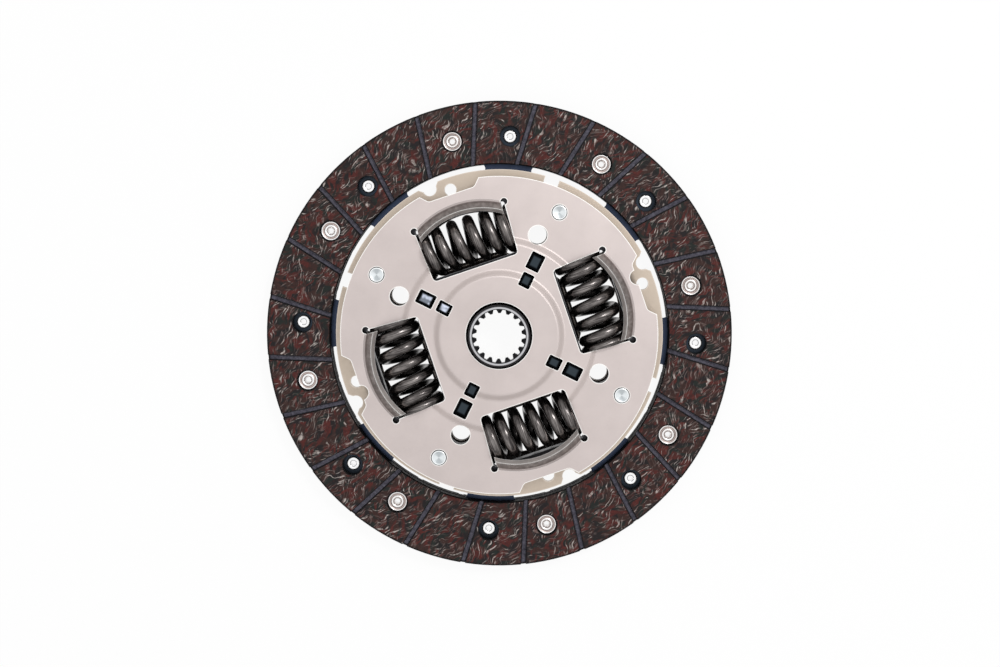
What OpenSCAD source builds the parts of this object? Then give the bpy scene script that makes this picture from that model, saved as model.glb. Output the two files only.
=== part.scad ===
// Sprung clutch disc for a dry single-plate clutch, seen from the gearbox side.
// Z = 0 is the flywheel friction face and +Z points to the gearbox, along the hub's axis.

/* [Friction facings] */
// Outer diameter of both facings
facing_od = 180; // [176:1:186]
// Inner diameter of both facings
facing_id = 131; // [130:0.5:134]
// Thickness of one facing
facing_t = 3.5; // [3.2:0.1:4]
// Chamfer on the facing's outer and inner rims
facing_chamfer = 0.35; // [0.1:0.05:0.6]
// Number of grooves in each facing
groove_count = 24; // [16:8:24]
// Width of a groove
groove_w = 1.9; // [1:0.1:2.4]
// Depth of a groove
groove_depth = 1.3; // [0.6:0.1:1.8]
// How far a groove's centre line misses the hub's axis
groove_miss = 13; // [8:0.5:15]
// Direction of the first groove
groove_turn = -2.4; // [-3:0.1:-1.5]

/* [Facing rivets] */
// Diameter of the circle on which the facing rivets sit
rivet_pcd = 152.8; // [151:0.2:154]
// Number of rivets that hold one facing
rivet_count = 8; // [8]
// Direction of the first rivet headed on the gearbox side
rivet_turn = 13.85; // [12:0.05:15]
// Angle from a rivet headed on the flywheel side to the next one headed on the other
rivet_pair_turn = 16.95; // [15:0.05:18]
// Diameter of a rivet's flanged head
rivet_head_d = 7.4; // [6.6:0.1:7.8]
// Thickness of the flanged head
rivet_head_t = 0.7; // [0.5:0.05:0.8]
// Diameter of the rivet's shank
rivet_shank_d = 4; // [3.6:0.1:4.2]
// Diameter of the bore right through the rivet
rivet_bore_d = 2.1; // [1.6:0.1:2.4]
// Diameter of the rolled end
rolled_end_d = 5.3; // [4.8:0.1:5.8]
// Height of the rolled end
rolled_end_h = 0.9; // [0.6:0.1:1.1]
// Thickness of lining left under a rivet's head
lining_web = 1.7; // [1.3:0.1:2]
// Gap around a head in its counterbore
head_gap = 0.35; // [0.2:0.05:0.6]
// Diameter of the clear hole over a rolled end
clear_hole_d = 7.8; // [7:0.1:8.2]

/* [Cushion disc] */
// Thickness of the cushion steel
cushion_t = 0.7; // [0.5:0.05:0.9]
// Free gap that the cushion waves hold between the facings
cushion_gap = 1.3; // [1.1:0.05:1.6]
// Outer diameter of the ring that the stop pins clamp
cushion_ring_d = 112; // [110.5:0.5:113]
// Inner diameter of that ring
cushion_ring_id = 92; // [90:0.5:94]
// Width of the arm that carries one paddle
arm_w = 18; // [14:0.5:19]
// Fillet between an arm and its paddle
arm_fillet = 1.8; // [0.8:0.1:2.2]
// Cover of facing over the paddles' inner edges
paddle_cover = 0.5; // [0.3:0.1:1]
// Distance of the paddles' outer edges inside the facing's rim
paddle_margin = 2; // [1:0.1:4]
// How far a paddle reaches from its rivet pair's middle, as an angle
paddle_half_turn = 18.5; // [17:0.5:20]
// Length of a wave's ramp
wave_ramp = 4; // [3:0.5:5]

/* [Side plates] */
// Thickness of both side plates
plate_t = 2; // [1.8:0.1:2.2]
// Clear distance between the side plates
plate_gap = 7.6; // [7.4:0.1:8]
// Outer diameter of the gearbox side plate
front_plate_d = 121.4; // [120:0.2:122]
// Outer diameter of the flywheel side plate
rear_plate_d = 127; // [126:0.2:128]
// Diameter of the gearbox side plate's centre hole
front_hole_d = 25.3; // [25:0.1:26]
// Rise of the gearbox side plate's first step
first_rise = 1.2; // [1:0.1:1.6]
// Rise of its second step, round the hub
second_rise = 1.4; // [1:0.1:1.6]
// Sink of the flywheel side plate's step
rear_sink = 0.8; // [0.5:0.1:1]
// Radius at which the first step starts, on both plates
first_step_r = 38; // [37.5:0.1:38.5]
// Radius at which the second step starts
second_step_r = 25.3; // [25:0.1:25.6]
// Radial width of a step
step_w = 3.1; // [2.6:0.1:3.4]
// Chord that is the floor of a rim notch in the gearbox side plate, from the axis
notch_floor_r = 56.7; // [56.2:0.1:57.5]
// Length of that floor
notch_floor_w = 18.3; // [16:0.1:20]
// Length of the notch's mouth
notch_mouth_w = 26; // [24:0.1:28]
// Diameter of the two round bites beside the notches
bite_d = 5.6; // [4:0.1:6]
// Radius on which the bites sit
bite_r = 57.1; // [57:0.1:58]
// Angle from a notch's middle to its bite
bite_turn = 4; // [3:0.1:5]
// Direction of the first U-shaped slot in the flywheel side plate's rim
u_slot_turn = 26; // [25.6:0.1:26.4]
// Width of that slot
u_slot_w = 5.4; // [5:0.1:5.8]
// Radius of that slot's floor
u_slot_floor_r = 59.3; // [59:0.1:59.8]
// Direction of the first locating hole in the flywheel side plate
locating_turn = 18.9; // [18.6:0.1:19]
// Radius on which the locating holes sit
locating_r = 58.7; // [58.5:0.1:59]
// Diameter of a locating hole
locating_d = 4.6; // [4:0.1:4.8]
// Direction of the first square slot in the flywheel side plate's rim
square_slot_turn = 71; // [70:0.5:72]
// Width of that slot
square_slot_w = 5.8; // [5:0.1:6.4]
// Radius of that slot's floor
square_slot_floor_r = 60.4; // [60:0.1:61]
// Direction of the first see-through hole in both plates
sight_turn = 68.85; // [68:0.05:69.5]
// Radius on which the see-through holes sit
sight_r = 40.9; // [40.5:0.1:41.3]
// Diameter of a see-through hole
sight_d = 7.25; // [6.6:0.05:7.4]
// How much larger the hole in the flange under it is
sight_extra = 1.2; // [0.8:0.1:1.4]

/* [Stop pins] */
// Direction of the first stop pin
pin_turn = 63.8; // [63.4:0.1:64.2]
// Radius on which the stop pins sit
pin_r = 52.1; // [51.9:0.1:52.4]
// Diameter of a stop pin between the plates
pin_d = 8; // [7:0.1:8.4]
// Diameter of its ends in the plates
pin_end_d = 6; // [5:0.1:6.4]
// Height of its flattened head over the plate
pin_head_h = 0.45; // [0.3:0.05:0.6]

/* [Damper springs and windows] */
// Number of damper springs
spring_count = 4; // [4]
// Direction of the first spring
spring_turn = 18.75; // [18:0.05:19.2]
// Radius on which the spring's axis sits
spring_r = 37.9; // [37.6:0.1:38.1]
// Outer diameter of a spring
spring_od = 19.2; // [18.8:0.1:19.3]
// Diameter of its wire
spring_wire = 4.2; // [3.8:0.05:4.3]
// Length of a spring in its window
spring_len = 34.7; // [34.4:0.1:34.8]
// Number of turns
spring_turns = 6; // [6]
// Share of one wire that a closed turn moves along the axis at its end
closing = 0.86; // [0.84:0.01:0.9]
// Where each spring's wire ends, as an angle round its axis
spring_ends = [-6, 219, 3, 190]; // [-180:1:360]
// How far each spring's coils lean along its axis
spring_leans = [-0.5, -0.8, 0.8, -0.2]; // [-1:0.1:1]
// Gap at each end of a spring
seat_gap = 0.15; // [0.1:0.05:0.3]
// Lean of a window's end to the line through its middle
window_taper = 3.5; // [3:0.5:4.5]
// Gap between a spring and a window's inner edge
window_inner_gap = 1.1; // [0.9:0.05:1.4]
// Gap between a spring and the edges of its window in the flange
flange_gap = 0.45; // [0.35:0.05:0.6]
// Corner radius of a window's inner corners
window_corner = 1.5; // [0.5:0.1:2]
// Radius of the bend line of a window's formed lip
lip_bend_r = 33.2; // [33:0.1:33.6]
// Distance from the hub's axis to the centre of that bend line
lip_centre_r = 19; // [18.8:0.1:19.2]
// Radial width of the lips on the gearbox side plate
front_lip_w = 3.95; // [3.6:0.05:4.2]
// Radial width of the lips on the flywheel side plate
rear_lip_w = 4.4; // [4:0.1:4.5]
// Rise of the lip's inner edge over the inside of its plate
lip_rise = 4.3; // [4.2:0.1:4.5]
// Half the length of the lip along its chord
lip_half = 16.7; // [16.4:0.1:16.7]
// Diameter of the relief holes at the lip's ends
relief_d = 2.6; // [2.2:0.1:3]
// How far the flywheel side plate's inner window edge stands out to keep the spring in
keeper = 2.8; // [2:0.1:2.9]
// Length of that edge
keeper_w = 21; // [16:0.5:22]

/* [Hub] */
// Outer diameter of the hub's barrel
barrel_d = 23.6; // [23.2:0.1:24]
// Reach of the barrel beyond the flange, on the gearbox side
barrel_front = 9.2; // [7:0.1:12]
// Reach of the barrel beyond the flange, on the flywheel side
barrel_rear = 6.8; // [5.5:0.1:7.2]
// Diameter of the hub's flange
flange_d = 108; // [107:0.5:109]
// Thickness of the flange
flange_t = 4; // [3.8:0.1:4.2]
// Number of spline teeth
spline_teeth = 18; // [18]
// Diameter over the tips of the spline teeth
spline_minor_d = 17.3; // [16.8:0.1:17.6]
// Diameter at the floors between them
spline_major_d = 20.2; // [19.8:0.1:20.4]
// Width of a space between teeth at its floor
spline_floor_w = 1.1; // [0.8:0.1:1.4]
// Width of a space between teeth at its mouth
spline_mouth_w = 2.1; // [1.7:0.1:2.2]
// Chamfer on the outside of the barrel's ends
barrel_chamfer = 0.8; // [0.4:0.1:0.9]
// How far the hub can turn each way before the stop pins meet the flange
hub_travel = 8; // [6:0.5:8.5]

/* [Friction washers] */
// Outer diameter of the friction and pressure rings
friction_od = 53; // [51:0.5:53.4]
// Inner diameter of the friction ring on the gearbox side
friction_id = 27; // [26.6:0.2:30]
// Thickness of that friction ring
friction_t = 1.2; // [1:0.1:1.4]
// Thickness of the keyed pressure washer and the keyed support washer
washer_t = 1.1; // [0.9:0.05:1.2]
// Thickness of the dished spring washer
dish_t = 0.5; // [0.4:0.05:0.6]
// Direction of the first pair of lugs
lug_turn = 63.7; // [63.4:0.1:64]
// Radius at the middle of the outer lugs
outer_lug_r = 31.1; // [30.9:0.1:31.3]
// Radial length of the square hole for an outer lug
outer_hole_l = 6.9; // [6.4:0.1:7]
// Width of that hole
outer_hole_w = 5.4; // [5:0.1:5.8]
// Radius at the middle of the inner lugs
inner_lug_r = 23.3; // [23.2:0.1:23.5]
// Radial length of the square hole for an inner lug
inner_hole_l = 5.5; // [5:0.1:5.6]
// Width of that hole
inner_hole_w = 4.6; // [4.2:0.1:4.8]
// Gap around a lug in its hole
lug_gap = 0.3; // [0.2:0.05:0.4]
// How far a lug's top stays under the plate's outside
lug_recess = 0.6; // [0.4:0.1:0.8]
// Wall of the centring bush between the hub and the flywheel side plate
bush_wall = 1.4; // [1.2:0.1:1.6]
// Outer diameter of the bush's collar
bush_collar_d = 30.6; // [30:0.2:31]

/* [Hidden] */
$fn = 96;
run_gap = 0.05;
fit_gap = 0.02;
cut = 30;

facing_pitch = 360 / rivet_count;
window_pitch = 360 / spring_count;
rear_rivet_turn = rivet_turn - rivet_pair_turn;

// Heights, from the flywheel friction face upwards.
cushion_z = facing_t;
front_facing_z = facing_t + cushion_gap;
friction_face_z = front_facing_z + facing_t;
rear_plate_z = cushion_z + cushion_t;
rear_inside_z = rear_plate_z + plate_t;
front_plate_z = rear_inside_z + plate_gap;
flange_mid_z = rear_inside_z + plate_gap / 2;
flange_rear_z = flange_mid_z - flange_t / 2;
flange_front_z = flange_mid_z + flange_t / 2;
hub_rear_z = flange_rear_z - barrel_rear;
hub_front_z = flange_front_z + barrel_front;
first_inside_z = front_plate_z + first_rise;
centre_inside_z = first_inside_z + second_rise;

// Steel shades as the parts show them.
plate_colour = [0.76, 0.71, 0.69];
rear_plate_colour = [0.74, 0.67, 0.58];
blued_steel = [0.1, 0.13, 0.22];
dark_steel = [0.16, 0.15, 0.15];
lining_colour = [0.2, 0.13, 0.12];
bright_steel = [0.82, 0.82, 0.84];
rivet_colour = [0.78, 0.68, 0.64];
resin_colour = [0.14, 0.12, 0.11];

// Turns a shape to each of n equal places round the hub.
module round_hub(n, start) {
    for (i = [0:n - 1]) rotate([0, 0, start + i * 360 / n]) children();
}

function along(a, b, d) = a + (b - a) * d / norm(b - a);

// A polygon's outline with each corner rounded to its radius; a radius of 0 keeps the corner.
function rounded(points, radii, steps = 5) = [
    for (i = [0:len(points) - 1])
        let (
            n = len(points),
            p = points[i],
            before = points[(i + n - 1) % n],
            after = points[(i + 1) % n],
            u = (before - p) / norm(before - p),
            v = (after - p) / norm(after - p),
            half = acos(max(-1, min(1, u * v))) / 2,
            r = radii[i],
            back = r / tan(half),
            bisector = (u + v) / max(norm(u + v), 0.001),
            centre = p + bisector * r / sin(half),
            first = p + u * back - centre,
            last = p + v * back - centre,
            a0 = atan2(first[1], first[0]),
            sweep = (atan2(last[1], last[0]) - a0 + 540) % 360 - 180
        )
        each r == 0 ? [p] : [
            for (k = [0:steps]) centre + r * [cos(a0 + sweep * k / steps), sin(a0 + sweep * k / steps)]
        ]
];

// Heights of a smooth pressed step, from z0 at r0 to z1 at r1.
function pressed(r0, r1, z0, z1, steps = 6) = [
    for (k = [0:steps]) [r0 + (r1 - r0) * k / steps, z0 + (z1 - z0) * (1 - cos(180 * k / steps)) / 2]
];

// Revolves a bent sheet whose underside passes through the given points.
module pressed_sheet(under, t) {
    over = [for (i = [len(under) - 1:-1:0]) under[i] + [0, t]];
    rotate_extrude() polygon(concat(under, over));
}

// Spring windows. The first one's middle is on the +X line.

window_half = spring_len / 2 + seat_gap;
window_inner_r = spring_r - spring_od / 2 - window_inner_gap;
relief_r = sqrt(lip_bend_r * lip_bend_r - lip_half * lip_half) + lip_centre_r;

function window_side(r) = window_half + (r - spring_r) * tan(window_taper);

function bend_arc(r, half, steps = 14) = [
    for (k = [0:steps])
        let (a = asin(half / r) * (2 * k / steps - 1))
        [lip_centre_r + r * cos(a), r * sin(a)]
];

module window_outline(grow = 0, stand = 0) {
    side = lip_half - 0.2 + grow;
    inner = relief_r - relief_d / 2;
    edge = window_inner_r - grow;
    half = keeper_w / 2;
    wide = half + 1.4 * stand;
    stood = stand == 0 ? [] : [[edge, wide], [edge + stand, half], [edge + stand, -half], [edge, -wide]];
    outline = concat(
        [[inner, window_side(inner) + grow], [edge, window_side(window_inner_r) + grow]],
        stood,
        [[edge, -window_side(window_inner_r) - grow], [inner, -window_side(inner) - grow]]
    );
    soft = stand == 0 ? [] : [0.8, 0.8, 0.8, 0.8];
    polygon(concat(
        rounded(outline, concat([0, window_corner], soft, [window_corner, 0])),
        bend_arc(lip_bend_r + 0.45 + grow, side)
    ));
    for (s = [-1, 1]) translate([relief_r, s * window_side(relief_r)]) circle(d = relief_d + 2 * grow);
}

module windows(grow = 0, stand = 0) {
    round_hub(spring_count, spring_turn) linear_extrude(cut, center = true) window_outline(grow, stand);
}

// The flange's windows end straight, with no lip, just clear of the springs.
module flange_window() {
    outer = spring_r + spring_od / 2 + flange_gap;
    inner = spring_r - spring_od / 2 - flange_gap;
    polygon(rounded([
        [outer, window_side(outer)],
        [inner, window_side(inner)],
        [inner, -window_side(inner)],
        [outer, -window_side(outer)]
    ], [1, 0.6, 0.6, 1]));
}

// One lip: the plate's sheet drawn up in a curve over the spring's outer side.
module lip(lip_w) {
    steps = 4;
    root = 0.8;
    bend = 0.45 * plate_t;
    run = lip_w - bend;
    slope = [for (k = [0:steps]) let (s = k / steps) [lip_bend_r - bend - run * s, lip_rise * (1.4 * s - 0.4 * s * s)]];
    lean = [for (k = [0:steps]) let (a = atan(lip_rise * (1.4 - 0.8 * k / steps) / run)) [sin(a), cos(a)] * plate_t];
    under = concat([[lip_bend_r + root, 0]], slope);
    over = concat([for (k = [steps:-1:1]) slope[k] + lean[k]], [[lip_bend_r + root, plate_t]]);
    half = asin(lip_half / (lip_bend_r - lip_w / 2));
    intersection() {
        translate([lip_centre_r, 0, 0])
            rotate([0, 0, -half - 6])
                rotate_extrude(angle = 2 * half + 12) polygon(concat(under, over));
        translate([relief_r - 20, -lip_half, -1]) cube([40, 2 * lip_half, 20]);
    }
}

// Side plates.

module front_notches() {
    reach = front_plate_d / 2 + 6;
    floor_h = notch_floor_w / 2;
    mouth_h = notch_mouth_w / 2;
    spread = (mouth_h - floor_h) / (front_plate_d / 2 - notch_floor_r);
    round_hub(spring_count, spring_turn)
        linear_extrude(cut)
            polygon(rounded([
                [reach, floor_h + spread * (reach - notch_floor_r)],
                [notch_floor_r, floor_h],
                [notch_floor_r, -floor_h],
                [reach, -floor_h - spread * (reach - notch_floor_r)]
            ], [0, 2, 2, 0]));
    round_hub(2, spring_turn + bite_turn) translate([bite_r, 0, 0]) cylinder(d = bite_d, h = cut);
}

module lug_hole(r, l, w) {
    corner = 0.5;
    round_hub(spring_count, lug_turn)
        translate([r, 0, 0])
            linear_extrude(cut)
                polygon(rounded([
                    [l / 2, w / 2], [-l / 2, w / 2], [-l / 2, -w / 2], [l / 2, -w / 2]
                ], [corner, corner, corner, corner], 3));
}

module front_plate() {
    color(plate_colour) difference() {
        union() {
            difference() {
                translate([0, 0, front_plate_z]) pressed_sheet(concat(
                    [[front_plate_d / 2, 0]],
                    pressed(first_step_r, first_step_r - step_w, 0, first_rise),
                    pressed(second_step_r, second_step_r - step_w, first_rise, first_rise + second_rise),
                    [[front_hole_d / 2, first_rise + second_rise]]
                ), plate_t);
                translate([0, 0, front_plate_z]) windows();
            }
            round_hub(spring_count, spring_turn) translate([0, 0, front_plate_z]) lip(front_lip_w);
        }
        front_notches();
        lug_hole(outer_lug_r, outer_hole_l, outer_hole_w);
        lug_hole(inner_lug_r, inner_hole_l, inner_hole_w);
        round_hub(spring_count, sight_turn) translate([sight_r, 0, 0]) cylinder(d = sight_d, h = cut);
        round_hub(spring_count, pin_turn) translate([pin_r, 0, 0]) cylinder(d = pin_end_d + 2 * fit_gap, h = cut);
    }
}

module u_slot() {
    reach = rear_plate_d / 2 + 4;
    mouth = 1.6;
    edge_r = rear_plate_d / 2 - mouth;
    translate([u_slot_floor_r + u_slot_w / 2, 0]) circle(d = u_slot_w);
    polygon([
        [u_slot_floor_r + u_slot_w / 2, u_slot_w / 2], [u_slot_floor_r + u_slot_w / 2, -u_slot_w / 2],
        [edge_r, -u_slot_w / 2], [reach, -u_slot_w / 2 - (reach - edge_r)],
        [reach, u_slot_w / 2 + (reach - edge_r)], [edge_r, u_slot_w / 2]
    ]);
}

module square_slot() {
    reach = rear_plate_d / 2 + 4;
    polygon(rounded([
        [reach, square_slot_w / 2], [square_slot_floor_r, square_slot_w / 2],
        [square_slot_floor_r, -square_slot_w / 2], [reach, -square_slot_w / 2]
    ], [0, 0.8, 0.8, 0], 3));
}

// The coined slope on a keeper edge, clear of the spring.
module keeper_slope() {
    edge = window_inner_r + keeper;
    top = rear_inside_z - rear_sink;
    half = keeper_w / 2 + 1.4 * keeper + 1.2;
    translate([0, half, 0]) rotate([90, 0, 0]) linear_extrude(2 * half) polygon([
        [edge - 2, top + 1.2], [edge + 0.5, top - 1.8], [edge + 2, top - 1.8], [edge + 2, top + 2], [edge - 2, top + 2]
    ]);
}

bush_d = barrel_d + 2 * run_gap + 2 * bush_wall;

module rear_plate() {
    color(rear_plate_colour) difference() {
        union() {
            difference() {
                translate([0, 0, rear_plate_z]) pressed_sheet(concat(
                    [[rear_plate_d / 2, 0]],
                    pressed(first_step_r, first_step_r - step_w, 0, -rear_sink),
                    [[bush_d / 2 + fit_gap, -rear_sink]]
                ), plate_t);
                translate([0, 0, rear_plate_z]) windows(0, keeper);
                round_hub(spring_count, spring_turn) keeper_slope();
            }
            round_hub(spring_count, spring_turn)
                translate([0, 0, rear_inside_z]) mirror([0, 0, 1]) lip(rear_lip_w);
        }
        round_hub(spring_count, u_slot_turn) linear_extrude(cut) u_slot();
        round_hub(spring_count, square_slot_turn) linear_extrude(cut) square_slot();
        round_hub(spring_count, locating_turn) translate([locating_r, 0, 0]) cylinder(d = locating_d, h = cut);
        round_hub(spring_count, sight_turn) translate([sight_r, 0, 0]) cylinder(d = sight_d, h = cut);
        round_hub(spring_count, pin_turn) translate([pin_r, 0, 0]) cylinder(d = pin_end_d + 2 * fit_gap, h = cut);
    }
}

// Stop pins hold the plates apart and stop the flange.

module stop_pin(i) {
    rim = 0.35;
    end = pin_end_d / 2;
    rear = cushion_z - pin_head_h;
    front = front_plate_z + plate_t + pin_head_h;
    color(bright_steel)
        rotate([0, 0, pin_turn + (i - 1) * window_pitch])
            translate([pin_r, 0, 0])
                rotate_extrude() polygon([
                    [0, rear], [end - rim, rear], [end, rear + rim], [end, rear_inside_z],
                    [pin_d / 2, rear_inside_z], [pin_d / 2, front_plate_z], [end, front_plate_z],
                    [end, front - rim], [end - rim, front], [end * 0.62, front],
                    [end * 0.52, front - 0.18], [0, front - 0.18]
                ]);
}

// Hub with its flange, one forging.

module spline_spaces() {
    reach = spline_major_d / 2;
    mouth_r = spline_minor_d / 2;
    slope = (spline_mouth_w - spline_floor_w) / 2 / (reach - mouth_r);
    inside = spline_mouth_w / 2 + slope * 2;
    floor_x = sqrt(reach * reach - spline_floor_w * spline_floor_w / 4);
    round_hub(spline_teeth, -1) polygon([
        [mouth_r - 2, -inside], [floor_x, -spline_floor_w / 2],
        [floor_x, spline_floor_w / 2], [mouth_r - 2, inside]
    ]);
}

module pin_slot() {
    side = hub_travel + asin((pin_d / 2 + 0.1) / pin_r);
    floor_r = pin_r - pin_d / 2 - 0.7;
    reach = flange_d / 2 + 4;
    polygon(rounded([
        [reach * cos(side), reach * sin(side)], [floor_r * cos(side), floor_r * sin(side)],
        [floor_r * cos(side), -floor_r * sin(side)], [reach * cos(side), -reach * sin(side)],
        [reach * 1.2, 0]
    ], [0, 2, 2, 0, 0]));
    intersection() {
        circle(r = reach);
        polygon([
            [floor_r * cos(side), -floor_r * sin(side) + 2], [reach * 2, -reach * sin(side) * 0.9],
            [reach * 2, reach * sin(side) * 0.9], [floor_r * cos(side), floor_r * sin(side) - 2]
        ]);
    }
}

module hub() {
    barrel = barrel_d / 2;
    fillet = 0.8;
    c = barrel_chamfer;
    color([0.42, 0.42, 0.43]) difference() {
        rotate_extrude() polygon([
            [0, hub_rear_z], [barrel - c, hub_rear_z], [barrel, hub_rear_z + c],
            [barrel, flange_rear_z], [flange_d / 2 - 0.5, flange_rear_z],
            [flange_d / 2, flange_rear_z + 0.5], [flange_d / 2, flange_front_z - 0.5],
            [flange_d / 2 - 0.5, flange_front_z], [barrel + fillet, flange_front_z],
            [barrel + fillet * 0.3, flange_front_z + fillet * 0.3], [barrel, flange_front_z + fillet],
            [barrel, hub_front_z - c], [barrel - c, hub_front_z], [0, hub_front_z]
        ]);
        translate([0, 0, hub_rear_z - 1]) cylinder(d = spline_minor_d, h = hub_front_z - hub_rear_z + 2);
        translate([0, 0, hub_rear_z - 1]) linear_extrude(hub_front_z - hub_rear_z + 2) spline_spaces();
        mouth_chamfer(hub_front_z, 1);
        mouth_chamfer(hub_rear_z, -1);
        round_hub(spring_count, spring_turn) linear_extrude(cut) flange_window();
        round_hub(spring_count, pin_turn) linear_extrude(cut) pin_slot();
        round_hub(spring_count, sight_turn)
            translate([sight_r, 0, 0]) cylinder(d = sight_d + sight_extra, h = cut);
    }
}

// The 45 degree lead-in at an end of the spline.
module mouth_chamfer(z, way) {
    wide = spline_major_d / 2 + 0.25;
    narrow = spline_minor_d / 2 - 0.3;
    depth = wide - narrow;
    rotate_extrude() polygon([[0, z + way], [wide + 1, z + way], [narrow, z - way * depth], [0, z - way * depth]]);
}

// Damper springs: closed and ground ends, bowed to sit square on the window's leaning ends.

wire_sides = 8;
rings_per_turn = 16;
coil_r = (spring_od - spring_wire) / 2;
bow_r = spring_len / 2 / tan(window_taper);
end_turn = spring_turns / 2;
closed_at = end_turn - 0.78;
ease = 0.6;
closed_pitch = closing * spring_wire;
end_centre = spring_len / 2 - 0.11 * spring_wire;
free_pitch = closed_pitch + (end_centre - closed_pitch * end_turn) / closed_at;

function open_turns(m) =
    m <= closed_at - ease ? m :
    m >= closed_at + ease ? closed_at :
    m - pow(m - closed_at + ease, 2) / (4 * ease);

function coil_y(turn) =
    sign(turn) * (closed_pitch * abs(turn) + (free_pitch - closed_pitch) * open_turns(abs(turn)));

// Half the angle at the wire's middle of its flat: one of the section's sides, or the ground face.
function flat_angle(height) = max(180 / wire_sides, acos(max(-1, min(1, height / (spring_wire / 2)))));

// Angle round the wire of a corner of its section, whose flat faces the nearer end of the spring.
function skin_angle(way, half, j) = way * 90 + half + (360 - 2 * half) * j / (wire_sides - 1);

// A corner of the wire's section at a turn count.
function coil_point(turn, j, phase, lean) =
    let (
        a = 360 * turn + phase,
        way = turn < 0 ? -1 : 1,
        middle = coil_y(turn) - lean / 2 * cos(a),
        half = flat_angle(spring_len / 2 - way * middle),
        skin = skin_angle(way, half, way < 0 ? (j + wire_sides / 2) % wire_sides : j),
        out = coil_r + spring_wire / 2 * cos(skin),
        y = middle + spring_wire / 2 * sin(skin),
        bend = y / bow_r * 180 / PI,
        r = bow_r + out * sin(a)
    )
    [spring_r - bow_r + r * cos(bend), r * sin(bend), flange_mid_z + out * cos(a)];

module damper_spring(i) {
    rings = spring_turns * rings_per_turn;
    phase = spring_ends[i - 1];
    lean = spring_leans[i - 1];
    n = wire_sides;
    points = [
        for (k = [0:rings], j = [0:n - 1]) coil_point(k / rings_per_turn - end_turn, j, phase, lean)
    ];
    walls = [
        for (k = [0:rings - 1], j = [0:n - 1])
            let (a = k * n + j, b = k * n + (j + 1) % n)
            each [[a, b, b + n], [a, b + n, a + n]]
    ];
    first = [for (j = [n - 1:-1:0]) j];
    last = [for (j = [0:n - 1]) rings * n + j];
    color(dark_steel)
        rotate([0, 0, spring_turn + (i - 1) * window_pitch])
            polyhedron(points, concat([first, last], walls));
}

// Friction washers between the flange and the plates.

module ring(z, inner, outer, t) {
    translate([0, 0, z]) difference() {
        cylinder(r = outer, h = t);
        translate([0, 0, -1]) cylinder(r = inner, h = t + 2);
    }
}

friction_z = flange_front_z + run_gap;
pressure_z = friction_z + friction_t;
support_z = centre_inside_z - washer_t;
dish_z = pressure_z + washer_t;
support_r = second_step_r - step_w - 0.6;

module friction_ring_front() {
    color(resin_colour) ring(friction_z, friction_id / 2, friction_od / 2, friction_t);
}

// Four keys that reach out from a washer and stand up into the plate's square holes.
module lugs(z, top, r, l, w, from) {
    long = l - 2 * lug_gap;
    wide = w - 2 * lug_gap;
    outer = r + long / 2;
    edge = 0.35;
    round_hub(spring_count, lug_turn) {
        translate([from, -wide / 2, z]) cube([outer - from, wide, washer_t]);
        translate([r, 0, 0]) rotate([90, 0, 0]) translate([0, 0, -wide / 2]) linear_extrude(wide) polygon([
            [-long / 2, z], [long / 2, z], [long / 2, top - edge], [long / 2 - edge, top],
            [-long / 2 + edge, top], [-long / 2, top - edge]
        ]);
    }
}

module pressure_washer() {
    color(blued_steel) {
        ring(pressure_z, friction_id / 2 + 1.5, friction_od / 2, washer_t);
        lugs(pressure_z, first_inside_z + plate_t - lug_recess, outer_lug_r, outer_hole_l, outer_hole_w,
            friction_od / 2 - 1);
    }
}

module support_washer() {
    color(blued_steel) {
        ring(support_z, barrel_d / 2 + 1.2, support_r, washer_t);
        lugs(support_z, first_inside_z + plate_t - lug_recess + 0.5, inner_lug_r, inner_hole_l, inner_hole_w,
            support_r - 1);
    }
}

module spring_washer() {
    outer = support_r - 0.4;
    inner = barrel_d / 2 + 2.4;
    top = support_z - run_gap - dish_t;
    color(dark_steel) rotate_extrude() polygon([
        [outer, dish_z], [outer, dish_z + dish_t], [inner + 0.8, top + dish_t],
        [inner, top + dish_t], [inner, top], [outer - 0.8, dish_z]
    ]);
}

module friction_ring_rear() {
    z = rear_inside_z - rear_sink;
    color(resin_colour) ring(z, bush_collar_d / 2 + 0.3, friction_od / 2, flange_rear_z - run_gap - z);
}

module centring_bush() {
    bore = barrel_d / 2 + run_gap;
    sleeve = bush_d / 2;
    collar_z = rear_inside_z - rear_sink;
    end_z = rear_plate_z - rear_sink - 0.4;
    color(resin_colour) rotate_extrude() polygon([
        [bore, end_z], [sleeve, end_z], [sleeve, collar_z], [bush_collar_d / 2, collar_z],
        [bush_collar_d / 2, flange_rear_z - run_gap], [bore, flange_rear_z - run_gap]
    ]);
}

// Cushion disc: a ring and eight arms, each with a waved paddle between the facings.

paddle_mid_turn = rear_rivet_turn + rivet_pair_turn / 2;
paddle_in_r = facing_id / 2 + paddle_cover;
paddle_out_r = facing_od / 2 - paddle_margin;

function arc(r, a0, a1, steps) = [for (k = [0:steps]) let (a = a0 + (a1 - a0) * k / steps) r * [cos(a), sin(a)]];

// A paddle's outline, with its arm's middle on the +X line.
module paddle_outline() {
    shift = rivet_pair_turn / 2;
    a0 = shift - paddle_half_turn;
    a1 = shift + paddle_half_turn;
    arm_a = asin(arm_w / 2 / paddle_in_r);
    polygon(concat(arc(paddle_in_r, a1, a0, 16), arc(paddle_out_r, a0, a1, 18)));
    translate([40, -arm_w / 2]) square([paddle_in_r * cos(arm_a) - 39, arm_w]);
    for (s = [-1, 1]) arm_corner(s);
}

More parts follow.
